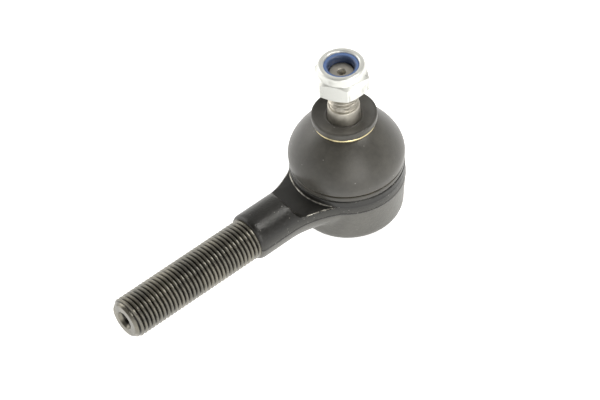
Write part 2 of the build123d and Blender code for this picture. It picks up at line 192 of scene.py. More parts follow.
def arc(centre, radius, start, end, steps):
    """Points of an arc in (radius, height), from one angle to another, in radians."""
    points = []
    for number in range(steps + 1):
        bearing = start + (end - start) * number / steps
        points.append((centre[0] + radius * math.cos(bearing), centre[1] + radius * math.sin(bearing)))
    return points


def bezier(start, start_handle, end_handle, end, steps):
    """Points of one Bezier segment in (radius, height)."""
    ends = [Vector((r, 0.0, z)) for r, z in (start, start_handle, end_handle, end)]
    return [(p.x, p.z) for p in interpolate_bezier(*ends, steps + 1)]


def only(kind, geometry):
    return [g for g in geometry if isinstance(g, kind)]


def draw_line(bm, points, closed=False):
    """Draws a line through (radius, height) points in the plane y = 0."""
    verts = [bm.verts.new((p[0], 0.0, p[1])) for p in points]
    ends = verts[1:] + verts[:1] if closed else verts[1:]
    return verts, [bm.edges.new(pair) for pair in zip(verts, ends)]


def spin(bm, geometry, steps, turn=TURN, rise=0.0, merge=False):
    """Turns the geometry about Z, rising by the same amount at each step."""
    bmesh.ops.spin(
        bm, geom=geometry, cent=(0, 0, 0), axis=UP, dvec=(0, 0, rise), angle=turn, steps=steps,
        use_merge=merge, use_duplicate=False,
    )


def cut_plane(bm, point, normal, near=1e-8, outer=False, inner=False):
    """Cuts the whole mesh along a plane and, when asked, clears one side. Gives what lies in the plane."""
    return bmesh.ops.bisect_plane(
        bm, geom=bm.verts[:] + bm.edges[:] + bm.faces[:], dist=near, plane_co=point, plane_no=normal,
        clear_outer=outer, clear_inner=inner,
    )["geom_cut"]


def bevel(bm, geometry, offset, segments, affect="EDGES"):
    """Bevels the edges or corners, and gives the new faces."""
    return bmesh.ops.bevel(
        bm, geom=geometry, offset=offset, offset_type="OFFSET", segments=segments, profile=0.5,
        affect=affect, clamp_overlap=False, material=-1,
    )["faces"]


def smooth(bm, verts, passes):
    for _ in range(passes):
        bmesh.ops.smooth_vert(bm, verts=verts, factor=0.5, use_axis_x=True, use_axis_y=True, use_axis_z=True)


def rounded(points, segments=3):
    """The line through (radius, height[, rounding]) points, with a bevel at each rounded corner."""
    bm = bmesh.new()
    verts, _ = draw_line(bm, points)
    here = verts[0]
    for vert, point in zip(verts, points):
        if len(point) == 3:
            bevel(bm, [vert], point[2], segments, affect="VERTICES")
    line, walked = [(here.co.x, here.co.z)], None
    while True:
        step = next((e for e in here.link_edges if e is not walked), None)
        if step is None:
            break
        walked, here = step, step.other_vert(here)
        line.append((here.co.x, here.co.z))
    bm.free()
    return line


def clean(bm, merge=1e-7):
    """Merges doubles and turns every face outwards."""
    bmesh.ops.remove_doubles(bm, verts=bm.verts[:], dist=merge)
    bmesh.ops.dissolve_degenerate(bm, edges=bm.edges[:], dist=merge)
    bmesh.ops.delete(bm, geom=[v for v in bm.verts if not v.link_faces], context="VERTS")
    bmesh.ops.recalc_face_normals(bm, faces=bm.faces[:])


def spin_outline(bm, points, steps, closed=True):
    """Turns an outline in (radius, height) into a ring or solid about Z."""
    verts, edges = draw_line(bm, points, closed)
    spin(bm, verts + edges, steps, merge=True)
    clean(bm)


def extend(bm, edges, stations):
    """Draws a round loop of edges on through (radius, height) stations about Z."""
    least_radius = 1e-9
    for radius, height in stations:
        made = bmesh.ops.extrude_edge_only(bm, edges=edges)["geom"]
        verts = set(only(BMVert, made))
        for vert in verts:
            flat = Vector((vert.co.x, vert.co.y, 0.0)).normalized() * max(radius, least_radius)
            vert.co = flat + Vector((0, 0, height))
        edges = [e for e in only(BMEdge, made) if all(v in verts for v in e.verts)]
    return edges


def open_edges(bm):
    return [e for e in bm.edges if e.is_boundary]


def loop_at(bm, place, axis=2, reach=1e-6):
    """The open edges that lie at this place along an axis."""
    return [e for e in open_edges(bm) if all(abs(v.co[axis] - place) < reach for v in e.verts)]


def helical_thread(bm, radius, pitch, start, end, steps, limit):
    """A right-hand thread about +Z, open at both ends. limit(height) gives (least, most) radius."""
    depth = 0.56 * pitch
    root = radius - depth
    flank = depth * math.tan(math.radians(30))
    flat = (pitch - 2 * flank) / 2
    foot = 0.28 * flat
    land = flat - foot
    first = (math.floor(start / pitch) - 1) * pitch
    rounding = 0.05 * pitch
    ridge = [
        (root, first), (root, first + foot, rounding), (radius, first + foot + flank, rounding),
        (radius, first + foot + flank + 2 * land, rounding), (root, first + pitch - foot, rounding),
        (root, first + pitch),
    ]
    verts, edges = draw_line(bm, rounded(ridge, segments=2))
    spin(bm, verts + edges, steps, rise=pitch / steps)
    turn = bm.verts[:] + bm.edges[:] + bm.faces[:]
    for number in range(1, math.ceil((end - first) / pitch) + 1):
        copy = bmesh.ops.duplicate(bm, geom=turn)["geom"]
        bmesh.ops.translate(bm, verts=only(BMVert, copy), vec=(0, 0, pitch * number))
    bmesh.ops.remove_doubles(bm, verts=bm.verts[:], dist=1e-6)
    cut_plane(bm, (0, 0, start), UP, inner=True)
    cut_plane(bm, (0, 0, end), UP, outer=True)
    for vert in bm.verts:
        least, most = limit(vert.co.z)
        span = math.hypot(vert.co.x, vert.co.y)
        kept = min(max(span, least), most)
        vert.co.x *= kept / span
        vert.co.y *= kept / span


def drilled_end(length, face_radius, mouth_radius, pilot_radius, pilot_depth):
    """Stations that close a turned end with its 60 degree centre hole."""
    cone = (mouth_radius - pilot_radius) / math.tan(math.radians(30))
    edge, drill_point = 0.12 * MM, 0.6 * pilot_radius
    hole = [
        (face_radius, length), (mouth_radius, length, edge), (pilot_radius, length - cone),
        (pilot_radius, length - cone - pilot_depth),
        (0.0, length - cone - pilot_depth - drill_point),
    ]
    return rounded(hole)[1:]


def placed(bm, name):
    """Moves a bmesh into a new object of the scene."""
    mesh = bpy.data.meshes.new(name)
    bm.to_mesh(mesh)
    bm.free()
    piece = bpy.data.objects.new(name, mesh)
    bpy.context.scene.collection.objects.link(piece)
    return piece


def finished(bm, name, materials, sharp=32.0):
    """Makes the piece's object from its bmesh, smooth but for its sharp edges."""
    piece = placed(bm, name)
    for material in materials:
        piece.data.materials.append(material)
    piece.data.shade_smooth()
    piece.data.set_sharp_from_angle(angle=math.radians(sharp))
    return piece


def applied(piece):
    """Replaces the piece's mesh by what its modifiers make of it."""
    graph = bpy.context.evaluated_depsgraph_get()
    mesh = bpy.data.meshes.new_from_object(piece.evaluated_get(graph))
    old = piece.data
    piece.modifiers.clear()
    piece.data = mesh
    bpy.data.meshes.remove(old)


def discard(*helpers):
    for helper in helpers:
        bpy.data.meshes.remove(helper.data)


# --- node helpers ---


def shade(values, factor=1.0):
    return (*(v * factor for v in values), 1.0)


class Nodes:
    """A node tree and short ways to add to it."""

    def __init__(self, tree):
        self.tree = tree

    def join(self, value, socket):
        """Feeds the socket from another one, or sets it to a plain value."""
        if isinstance(value, bpy.types.NodeSocket):
            self.tree.links.new(value, socket)
        else:
            socket.default_value = value

    def add(self, kind, settings=None, **inputs):
        """Adds a node and gives its outputs. In an input's name _ is a space, and i0 is the first."""
        made = self.tree.nodes.new(kind)
        for key, value in (settings or {}).items():
            setattr(made, key, value)
        for key, value in inputs.items():
            index = int(key[1:]) if key[0] == "i" and key[1:].isdigit() else key.replace("_", " ")
            self.join(value, made.inputs[index])
        return made.outputs

    def math(self, operation, first, second=0.0):
        return self.add("ShaderNodeMath", {"operation": operation}, i0=first, i1=second)[0]

    def ramp(self, value, low, high):
        """The value stretched so that low gives 0 and high gives 1."""
        return self.add("ShaderNodeMapRange", {"clamp": True}, Value=value, From_Min=low, From_Max=high)[0]

    def between(self, factor, first, second):
        """A value between two others."""
        return self.add("ShaderNodeMix", {"data_type": "FLOAT"}, i0=factor, i2=first, i3=second)[0]

    def mix(self, mask, first, second, share=None):
        """A colour between two others, the second only by its share."""
        factor = mask if share is None else self.math("MULTIPLY", mask, share)
        return self.add("ShaderNodeMix", {"data_type": "RGBA"}, i0=factor, i6=first, i7=second)[2]

    def tones(self, mask, values, low, high):
        """One colour, lighter or darker from patch to patch."""
        return self.mix(mask, shade(values, low), shade(values, high))

    def off_axis(self, vector, *plane):
        """The vector's parts, and its length in the plane of the two named ones."""
        parts = self.add("ShaderNodeSeparateXYZ", Vector=vector)
        flat = self.add("ShaderNodeCombineXYZ", **{axis: parts[axis] for axis in plane})[0]
        return parts, self.add("ShaderNodeVectorMath", {"operation": "LENGTH"}, i0=flat)["Value"]

    def object_place(self, scale=(1.0, 1.0, 1.0), rotation=(0.0, 0.0, 0.0)):
        """Object coordinates through a Mapping node."""
        place = self.add("ShaderNodeTexCoord")["Object"]
        return self.add("ShaderNodeMapping", Vector=place, Scale=scale, Rotation=rotation)[0]


def new_group(name, values, results):
    """A node group with a vector input, inputs with these values, and these outputs."""
    tree = bpy.data.node_groups.new(name, "ShaderNodeTree")
    tree.interface.new_socket("Vector", in_out="INPUT", socket_type="NodeSocketVector")
    for label, value in values.items():
        socket = tree.interface.new_socket(label, in_out="INPUT", socket_type="NodeSocketFloat")
        socket.default_value = value
    for label in results:
        kind = "NodeSocketVector" if label == "Normal" else "NodeSocketFloat"
        tree.interface.new_socket(label, in_out="OUTPUT", socket_type=kind)
    nodes = Nodes(tree)
    return nodes, nodes.add("NodeGroupInput"), tree.nodes.new("NodeGroupOutput").inputs


def build_mottle():
    """Soft uneven patches in two sizes."""
    nodes, given, result = new_group("Mottle", {"Scale": 300.0}, ["Mask"])
    place, scale = given["Vector"], given["Scale"]
    broad = nodes.add("ShaderNodeTexNoise", Vector=place, Scale=scale, Detail=4.0)
    fine_scale = nodes.math("MULTIPLY", scale, 5.3)
    fine = nodes.add("ShaderNodeTexNoise", Vector=place, Scale=fine_scale, Detail=3.0)
    nodes.join(nodes.ramp(nodes.between(0.35, broad["Fac"], fine["Fac"]), 0.34, 0.66), result["Mask"])


def build_grain():
    """The pitted skin of a blasted forging."""
    nodes, given, result = new_group("Forging Grain", {"Scale": 2600.0}, ["Height", "Pits"])
    place, scale = given["Vector"], given["Scale"]
    lump_scale = nodes.math("MULTIPLY", scale, 0.3)
    lumps = nodes.add("ShaderNodeTexNoise", Vector=place, Scale=lump_scale, Detail=3.0)
    cells = nodes.add(
        "ShaderNodeTexVoronoi", {"feature": "SMOOTH_F1"}, Vector=place, Scale=scale, Smoothness=0.6
    )
    nodes.join(nodes.between(0.45, lumps["Fac"], cells["Distance"]), result["Height"])
    nodes.join(nodes.ramp(cells["Distance"], 0.62, 0.18), result["Pits"])


def build_edge_wear():
    """Where a coating is rubbed along the edges, broken up so that no edge is evenly bare."""
    nodes, given, result = new_group(
        "Edge Wear", {"Width": 0.4 * MM, "Breaks": 900.0}, ["Mask", "Normal"]
    )
    soft = nodes.add("ShaderNodeBevel", {"samples": 6}, Radius=given["Width"])[0]
    flat = nodes.add("ShaderNodeNewGeometry")["Normal"]
    turn = nodes.add("ShaderNodeVectorMath", {"operation": "DOT_PRODUCT"}, i0=soft, i1=flat)["Value"]
    breaks = nodes.add(
        "ShaderNodeTexNoise", Vector=given["Vector"], Scale=given["Breaks"], Detail=5.0, Roughness=0.6
    )
    edge, runs = nodes.ramp(turn, 0.992, 0.86), nodes.ramp(breaks["Fac"], 0.38, 0.62)
    nodes.join(nodes.math("MULTIPLY", edge, runs), result["Mask"])
    nodes.join(soft, result["Normal"])


def build_specks():
    """Small scattered specks of dust."""
    nodes, given, result = new_group("Specks", {"Scale": 500.0, "Size": 0.16, "Share": 0.2}, ["Mask"])
    cells = nodes.add("ShaderNodeTexVoronoi", Vector=given["Vector"], Scale=given["Scale"])
    dot = nodes.math("LESS_THAN", cells["Distance"], given["Size"])
    chance = nodes.add("ShaderNodeSeparateColor", Color=cells["Color"])[0]
    nodes.join(nodes.math("MULTIPLY", dot, nodes.math("LESS_THAN", chance, given["Share"])), result["Mask"])


def build_tool_rings():
    """Fine rings that a turning tool leaves about the Z axis."""
    nodes, given, result = new_group("Tool Rings", {"Spacing": 0.12 * MM}, ["Height"])
    parts, reach = nodes.off_axis(given["Vector"], "X", "Y")
    wobble = nodes.add("ShaderNodeTexNoise", Vector=given["Vector"], Scale=260.0, Detail=2.0)
    drift = nodes.math("MULTIPLY", wobble["Fac"], 0.2 * MM)
    along = nodes.math("ADD", nodes.math("ADD", reach, parts["Z"]), drift)
    phase = nodes.math("MULTIPLY", nodes.math("DIVIDE", along, given["Spacing"]), TURN)
    nodes.join(nodes.math("MULTIPLY_ADD", nodes.math("SINE", phase), 0.5), result["Height"])


class Surface(Nodes):
    """A material in the making: even values set on its Principled shader, the rest fed by masks."""

    def __init__(self, name, **constants):
        self.material = bpy.data.materials.new(name)
        self.material.use_nodes = True
        super().__init__(self.material.node_tree)
        self.shader = self.tree.nodes["Principled BSDF"]
        self.place = self.object_place()
        self.feed(**constants)

    def feed(self, **inputs):
        for key, value in inputs.items():
            self.join(value, self.shader.inputs[key.replace("_", " ")])

    def effect(self, name, **inputs):
        """A shared effect, placed with its own values."""
        group = {"node_tree": bpy.data.node_groups[name]}
        return self.add("ShaderNodeGroup", group, Vector=self.place, **inputs)

    def mottle(self, scale):
        return self.effect("Mottle", Scale=scale)["Mask"]

    def wear(self, width, breaks):
        return self.effect("Edge Wear", Width=width, Breaks=breaks)

    def finish(self, base, rough, height, depth, strength, **normal):
        """Feeds the colour, the roughness and the fine relief, and gives the material."""
        relief = self.add("ShaderNodeBump", Height=height, Distance=depth, Strength=strength, **normal)
        self.feed(Base_Color=base, Roughness=rough, Normal=relief[0])
        return self.material


# --- materials ---


def forging_coat(finish):
    """Satin black coating over a blasted forging, rubbed at its edges, painted lighter on its lower flank
    and underside as a painted reflection of the pale floor.
    """
    made = Surface("forging_coat", IOR=1.45)
    grain = made.effect("Forging Grain", Scale=1700.0)["Height"]
    patches = made.mottle(140.0)
    wear = made.wear(0.42 * MM, 700.0)
    specks = made.effect("Specks", Scale=900.0, Size=0.16, Share=0.16)["Mask"]
    height = made.add("ShaderNodeSeparateXYZ", Vector=made.place)["Z"]
    # Painted shade: a thin band along the parting line's flash is painted darker as a shadow line, and wear
    # is kept off it.
    flash = made.ramp(made.math("ABSOLUTE", height), 0.42 * MM, 0.3 * MM)
    # Painted reflection: the flank below the rim and the underside below the parting line are painted
    # lighter to stand in for light from the pale floor.
    flank = made.ramp(height, 3.4 * MM, 1.0 * MM)
    under = made.ramp(height, 0.0, -0.7 * MM)
    rubbed = made.math("MULTIPLY", wear["Mask"], made.math("SUBTRACT", 1.0, flash))
    base = made.tones(patches, finish.coat, 0.8, 1.45)
    # Painted reflection of the floor: lighter on the lower flank, lighter still underneath.
    base = made.mix(flank, base, shade(finish.coat, 3.2))
    base = made.mix(under, base, made.tones(patches, finish.coat, 6.5, 9.0))
    # Painted shadow line along the flash.
    base = made.mix(flash, base, shade(finish.coat, 0.3), share=0.7)
    base = made.mix(rubbed, base, shade(finish.coat_worn, 1.5))
    base = made.mix(specks, base, shade(finish.coat_worn), share=0.5)
    rough = made.between(patches, 0.3, 0.44)
    return made.finish(base, rough, grain, 0.16 * MM, 0.8, Normal=wear["Normal"])


def turned_coat(finish):
    """The same coating over turned surfaces, smoother, with faint tool rings."""
    made = Surface("turned_coat", IOR=1.45, Coat_Weight=0.15, Coat_Roughness=0.22)
    rings = made.effect("Tool Rings", Spacing=0.22 * MM)["Height"]
    patches = made.mottle(220.0)
    wear = made.wear(0.42 * MM, 700.0)
    base = made.tones(patches, finish.coat, 0.7, 1.2)
    base = made.mix(wear["Mask"], base, shade(finish.coat_worn, 1.8))
    rough = made.between(patches, 0.36, 0.48)
    return made.finish(base, rough, rings, 0.012 * MM, 0.5, Normal=wear["Normal"])


def bare_edge(finish):
    """Edges that the coating has left thin, bright in short runs."""
    made = Surface("bare_edge", Metallic=0.7)
    runs = made.mottle(520.0)
    base = made.tones(runs, finish.coat_worn, 0.15, 1.7)
    return made.finish(base, made.between(runs, 0.5, 0.3), runs, 0.02 * MM, 0.5)


def oiled_thread(finish):
    """Steel thread under dark oil, which lies in the grooves and thins out on the crests; the grooves'
    darkness is partly oil and partly painted shade.
    """
    made = Surface("oiled_thread", Metallic=0.85, Coat_Weight=0.2, Coat_Roughness=0.2)
    patches, fine = made.mottle(110.0), made.mottle(700.0)
    parts, reach = made.off_axis(made.place, "Y", "Z")
    tip = made.ramp(parts["X"], housing_high.x - 1.3 * MM, housing_high.x - 0.9 * MM)
    # The crest mask comes from the radius, so the grooves take the dark colour: partly oil, partly painted
    # shade in the recesses. The tip's chamfer and end take the crest colour.
    crest = made.math("MAXIMUM", made.ramp(reach, 6.2 * MM, 6.65 * MM), tip)
    brown = [part * tint for part, tint in zip(finish.oil, (1.04, 1.0, 0.93))]
    # Groove colour: oil with painted shade.
    groove = made.mix(patches, shade(finish.oil, 0.1), shade(brown, 0.2))
    bare = made.mix(patches, shade(finish.oil), shade(brown, 1.9))
    rough = made.between(fine, 0.24, 0.38)
    return made.finish(made.mix(crest, groove, bare), rough, fine, 0.012 * MM, 0.5)


def plate_coat(finish):
    """Satin black over pressed sheet."""
    made = Surface("plate_coat", IOR=1.5)
    patches = made.mottle(180.0)
    grain = made.effect("Forging Grain", Scale=3400.0)["Height"]
    wear = made.wear(0.3 * MM, 800.0)
    base = made.tones(patches, finish.coat, 1.1, 2.0)
    base = made.mix(wear["Mask"], base, shade(finish.coat_worn), share=0.6)
    rough = made.between(patches, 0.36, 0.5)
    return made.finish(base, rough, grain, 0.03 * MM, 0.4, Normal=wear["Normal"])


def boot_rubber(finish, bend_height):
    """Moulded rubber: dark, with a pale bloom in patches, dust specks and rubbed edges.

    The wear leaves out the bend, where two meshes meet and a bevel would find an edge.
    """
    made = Surface("boot_rubber", IOR=1.5, Sheen_Weight=0.1, Sheen_Roughness=0.5)
    patches, fine = made.mottle(95.0), made.mottle(1500.0)
    specks = made.effect("Specks", Scale=520.0, Size=0.1, Share=0.25)["Mask"]
    wear = made.wear(0.35 * MM, 600.0)["Mask"]
    height = made.add("ShaderNodeSeparateXYZ", Vector=made.place)["Z"]
    from_bend = made.math("ABSOLUTE", made.math("SUBTRACT", height, bend_height))
    rubbed = made.math("MULTIPLY", wear, made.ramp(from_bend, 0.6 * MM, 1.2 * MM))
    base = made.tones(patches, finish.rubber, 0.72, 1.25)
    base = made.mix(rubbed, base, shade(finish.bloom), share=0.55)
    base = made.mix(specks, base, shade(finish.bloom), share=0.8)
    return made.finish(base, made.between(patches, 0.34, 0.45), fine, 0.02 * MM, 0.45)


def zinc_plate(finish):
    """Bright zinc over rolled steel, with faint scuffs and grey handling marks."""
    made = Surface("zinc_plate", Metallic=0.6)
    patches, fine = made.mottle(260.0), made.mottle(1800.0)
    along = made.object_place(scale=(1.0, 1.0, 0.35), rotation=(0.3, 0.5, 0.2))
    streaks = made.add(
        "ShaderNodeTexNoise", Vector=along, Scale=420.0, Detail=6.0, Roughness=0.65, Distortion=0.6
    )
    scuff = made.ramp(streaks["Fac"], 0.6, 0.68)
    wear = made.wear(0.3 * MM, 500.0)
    base = made.tones(patches, finish.zinc, 0.94, 1.0)
    base = made.mix(scuff, base, shade(finish.scuff), share=0.75)
    rough = made.between(scuff, made.between(patches, 0.28, 0.4), 0.5)
    return made.finish(base, rough, fine, 0.01 * MM, 0.5, Normal=wear["Normal"])


def blue_nylon(finish):
    """Moulded nylon with a painted highlight on a band of its top face; its bore keeps the darker colour as
    painted shade.
    """
    made = Surface("blue_nylon", IOR=1.53)
    patches = made.mottle(420.0)
    wear = made.wear(0.25 * MM, 800.0)
    reach = made.off_axis(made.place, "X", "Y")[1]
    # Painted highlight: a band of the top face between these radii is painted lighter.
    inner, outer = made.ramp(reach, 4.5 * MM, 5.0 * MM), made.ramp(reach, 5.9 * MM, 5.5 * MM)
    base = made.tones(patches, finish.nylon, 0.7, 1.0)
    # The painted highlight on the top face's band.
    base = made.mix(made.math("MULTIPLY", inner, outer), base, shade(finish.nylon, 2.6))
    base = made.mix(wear["Mask"], base, shade(finish.nylon_worn), share=0.3)
    rough = made.between(patches, 0.36, 0.5)
    return made.finish(base, rough, patches, 0.02 * MM, 0.4, Normal=wear["Normal"])


def ground_steel(finish):
    """Turned and ground steel with fine rings and a light film of oil."""
    made = Surface("ground_steel", Metallic=1.0)
    rings = made.effect("Tool Rings", Spacing=0.14 * MM)["Height"]
    patches = made.mottle(330.0)
    wear = made.wear(0.18 * MM, 900.0)
    base = made.tones(patches, finish.steel, 0.8, 1.0)
    base = made.mix(wear["Mask"], base, shade(finish.steel_worn), share=0.5)
    rough = made.between(patches, 0.36, 0.5)
    return made.finish(base, rough, rings, 0.006 * MM, 0.4, Normal=wear["Normal"])


def brass_wire(finish):
    """Brass-plated wire, drawn and a little tarnished."""
    made = Surface("brass_wire", Metallic=1.0)
    patches, fine = made.mottle(300.0), made.mottle(2400.0)
    base = made.tones(patches, finish.brass, 0.72, 1.0)
    return made.finish(base, made.between(fine, 0.22, 0.38), fine, 0.01 * MM, 0.4)


def seat_polymer(finish):
    """Natural moulded polymer with grease marks."""
    made = Surface("seat_polymer", IOR=1.48, Subsurface_Weight=0.2, Subsurface_Scale=1.0 * MM)
    grease, fine = made.mottle(130.0), made.mottle(1300.0)
    base = made.tones(grease, finish.polymer, 0.78, 1.0)
    return made.finish(base, made.between(grease, 0.25, 0.5), fine, 0.02 * MM, 0.4)


def phosphated_spring(finish):
    """Grey phosphate over spring steel, crystalline and matt."""
    made = Surface("phosphated_spring", Metallic=0.75)
    crystals = made.effect("Forging Grain", Scale=5200.0)
    base = made.tones(made.mottle(240.0), finish.phosphate, 0.75, 1.2)
    return made.finish(base, made.between(crystals["Pits"], 0.42, 0.62), crystals["Height"], 0.02 * MM, 0.5)


# --- pieces ---


def forging_blank(sizes):
    """The forging before it is turned: a cup and a flared neck, grown together and rounded."""
    bottom, top = housing_low.z, sizes.collar_height + 0.8 * MM
    draft, foot_rounding, skin = 1.2 * MM, 2.6 * MM, 0.06 * MM
    outline = [
        (0.0, bottom), (sizes.cup_radius - draft, bottom, foot_rounding), (sizes.cup_radius, 0.0),
        (sizes.rim_radius + skin, sizes.relief_height), (sizes.rim_radius + skin, top), (0.0, top),
    ]
    bm = bmesh.new()
    spin_outline(bm, rounded(outline, segments=6), steps=160, closed=False)
    cup = placed(bm, "cup_blank")

    length, flare_end, flare_power = NECK_END - NECK_START, sizes.relief_radius + 1.0 * MM, 1.8
    root_half_width, root_half_height = 14.2 * MM, 10.2 * MM
    bm = bmesh.new()
    bmesh.ops.create_cone(bm, cap_ends=True, segments=120, radius1=1.0, radius2=1.0, depth=length)
    long_edges = [e for e in bm.edges if abs(e.verts[0].co.z - e.verts[1].co.z) > length / 2]
    bmesh.ops.subdivide_edges(bm, edges=long_edges, cuts=40)
    for vert in bm.verts:
        x = vert.co.z + length / 2 + NECK_START
        flare = max(0.0, (flare_end - x) / (flare_end - NECK_START)) ** flare_power
        half_width = sizes.shoulder_radius + (root_half_width - sizes.shoulder_radius) * flare
        half_height = sizes.shoulder_radius + (root_half_height - sizes.shoulder_radius) * flare
        vert.co = Vector((x, vert.co.x * half_width, vert.co.y * half_height))
    bmesh.ops.recalc_face_normals(bm, faces=bm.faces[:])
    neck = placed(bm, "neck_blank")

    bm = bmesh.new()
    bm.from_mesh(cup.data)
    bm.from_mesh(neck.data)
    blank = placed(bm, "forging_blank")
    discard(cup, neck)
    remesh = blank.modifiers.new("Grow Together", "REMESH")
    remesh.mode = "VOXEL"
    remesh.voxel_size = sizes.forging_voxel
    applied(blank)

    bm = bmesh.new()
    bm.from_mesh(blank.data)
    smooth(bm, bm.verts[:], sizes.forging_rounds)
    half = sizes.flash_width / 2
    for height in (-half, half):
        cut_plane(bm, (0, 0, height), UP, near=1e-7)
    band = [f for f in bm.faces if all(abs(v.co.z) < half + 1e-6 for v in f.verts)]
    bmesh.ops.inset_region(
        bm, faces=band, thickness=sizes.flash_depth, depth=sizes.flash_depth,
        use_boundary=True, use_even_offset=True,
    )
    bm.to_mesh(blank.data)
    bm.free()
    return blank


def turning_cutter(sizes):
    """What turning takes off: the relief, the rim, the collar, the bore and the plate's recess."""
    above, below = 22.0 * MM, housing_low.z - 1 * MM
    bead, edge, chamfer = 0.35 * MM, 0.25 * MM, 0.4 * MM
    rim, collar, relief = sizes.rim_radius, sizes.collar_radius, sizes.relief_radius
    plate, lip, seat = plate_high.x, plate_high.x - 1.1 * MM, 12.4 * MM
    mouth_height, mouth_radius, top_radius = 5.9 * MM, 9.05 * MM, 10.35 * MM
    bore = [
        (0.0, below), (lip + 1.0 * MM, below), (lip + 0.5 * MM, housing_low.z, 0.3 * MM),
        (lip, plate_low.z), (plate, plate_low.z), (plate, plate_high.z), (seat, plate_high.z),
        (seat, mouth_height - (seat - mouth_radius)), (mouth_radius, mouth_height, 0.2 * MM),
        (top_radius, sizes.collar_height, 0.2 * MM),
    ]
    outside = [
        (collar, sizes.collar_height, edge), (collar + bead, sizes.collar_height - bead),
        (collar, sizes.collar_height - 2 * bead), (collar, sizes.rim_height, edge),
        (rim - chamfer, sizes.rim_height, 0.1 * MM), (rim, sizes.rim_height - chamfer, 0.1 * MM),
        (rim, sizes.relief_height, 0.35 * MM), (relief, sizes.relief_height, 2.4 * MM),
        (relief, above), (0.0, above),
    ]
    bm = bmesh.new()
    spin_outline(bm, rounded(bore + outside, segments=5), steps=192)
    return placed(bm, "turning_cutter")


def cut(piece, cutter):
    boolean = piece.modifiers.new("Cut", "BOOLEAN")
    boolean.operation = "DIFFERENCE"
    boolean.solver = "MANIFOLD"
    boolean.object = cutter
    applied(piece)


def soften_wall(bm, sizes):
    """Rounds the relief's wall into the neck, as the forging's own scale does."""
    floor, inwards, outwards = sizes.relief_height + 0.25 * MM, -2.2 * MM, 2.0 * MM
    near = [
        v
        for v in bm.verts
        if v.co.z > floor and inwards < v.co.xy.length - sizes.relief_radius < outwards
    ]
    smooth(bm, near, 14)


def is_turned(centre, sizes):
    """Whether the turning tool made the face with this centre."""
    reach, rise = math.hypot(centre.x, centre.y), centre.z - sizes.relief_height
    slack, fillet = 0.02 * MM, 0.9 * MM
    rim, relief = sizes.rim_radius, sizes.relief_radius
    in_relief = rise > -slack and rim - 2 * slack < reach < relief + slack
    on_wall = reach < rim + slack or reach > relief - fillet
    in_cup = reach < rim - 0.3 * MM and centre.z > 0
    return in_cup or in_relief and (on_wall or rise < fillet)


def bare_edges(bm, sizes, index):
    """Breaks the sharp edge where the relief's floor leaves the forging, and marks the fillets."""
    floor, inner, outer = sizes.relief_height, sizes.rim_radius, sizes.relief_radius
    slack, rim_gap, wall_gap = 0.02 * MM, 0.5 * MM, 2.5 * MM
    sharp = [
        e
        for e in bm.edges
        if len(e.link_faces) == 2
        and all(abs(v.co.z - floor) < slack for v in e.verts)
        and all(inner + rim_gap < v.co.xy.length < outer - wall_gap for v in e.verts)
        and sum(f.normal.z > 0.99 for f in e.link_faces) == 1
    ]
    for face in bevel(bm, sharp, 0.3 * MM, 2):
        face.material_index = index
    before, fillet, bare_angle = -0.01 * MM, 0.34 * MM, math.radians(34)
    for face in bm.faces:
        centre = face.calc_center_median()
        if (
            before < centre.xy.length - inner < fillet
            and before < centre.z - floor < fillet
            and abs(math.atan2(centre.y, centre.x)) < bare_angle
        ):
            face.material_index = index


def shank_mesh(sizes):
    """The shoulder, the thread and the drilled end, along Z, open towards the forging."""
    length, start = sizes.shank_length, sizes.shank_length - sizes.thread_length
    chamfer, end_radius = 1.7 * MM, 5.6 * MM
    slope = (sizes.thread_radius - end_radius) / chamfer
    fade = 1.1 * sizes.thread_pitch

    def limit(height):
        filling = max(0.0, 1.0 - (height - start) / fade)
        least = (sizes.thread_radius - 0.25 * MM) * filling
        return least, end_radius + (length - height) * slope

    bm = bmesh.new()
    helical_thread(bm, sizes.thread_radius, sizes.thread_pitch, start, length, steps=72, limit=limit)
    mouth_radius, pilot_radius, pilot_depth = 3.25 * MM, 1.25 * MM, 4.0 * MM
    hole = drilled_end(length, end_radius, mouth_radius, pilot_radius, pilot_depth)
    extend(bm, loop_at(bm, length), hole)
    shoulder = [
        (sizes.thread_radius - 0.1 * MM, start + 0.05 * MM),
        (sizes.thread_radius + 0.1 * MM, start), (sizes.shoulder_radius, start, 1.6 * MM),
        (sizes.shoulder_radius, start - 2 * MM), (sizes.shoulder_radius, SHANK_JOIN),
    ]
    extend(bm, loop_at(bm, start), rounded(shoulder, segments=5)[1:])
    return bm


class TIEROD_OT_forging(bpy.types.Operator):
    """Build the forged housing with its turned top and threaded shank"""

    bl_idname = "tie_rod.forging"
    bl_label = "Forged Housing"

    def execute(self, context):
        sizes, finish = context.scene.tie_rod.housing, context.scene.tie_rod.finish
        materials = [forging_coat(finish), turned_coat(finish), oiled_thread(finish), bare_edge(finish)]
        forged, turned, threaded, bare = range(len(materials))
        blank, cutter = forging_blank(sizes), turning_cutter(sizes)
        cut(blank, cutter)
        bm = bmesh.new()
        bm.from_mesh(blank.data)
        discard(cutter, blank)
        bridge_length, slack = 0.8 * MM, 0.02 * MM
        cut_plane(bm, (SHANK_JOIN - bridge_length, 0, 0), (1, 0, 0), near=1e-7, outer=True)
        blank_loop = open_edges(bm)
        soften_wall(bm, sizes)
        for face in bm.faces:
            face.material_index = turned if is_turned(face.calc_center_median(), sizes) else forged
        bare_edges(bm, sizes, bare)

        shank = shank_mesh(sizes)
        shank.transform(Matrix.Rotation(math.radians(90), 4, "Y"))
        thread_start = sizes.shank_length - sizes.thread_length - slack
        for face in shank.faces:
            face.material_index = threaded if face.calc_center_median().x > thread_start else forged
        shank_part = placed(shank, "shank")
        bm.from_mesh(shank_part.data)
        discard(shank_part)
        made = bmesh.ops.bridge_loops(bm, edges=blank_loop + loop_at(bm, SHANK_JOIN, axis=0))
        for face in made["faces"]:
            face.material_index = forged
        clean(bm)
        piece = finished(bm, "housing_forging", materials, sharp=35.0)
        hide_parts("housing")
        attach(piece, "housing")
        return {"FINISHED"}


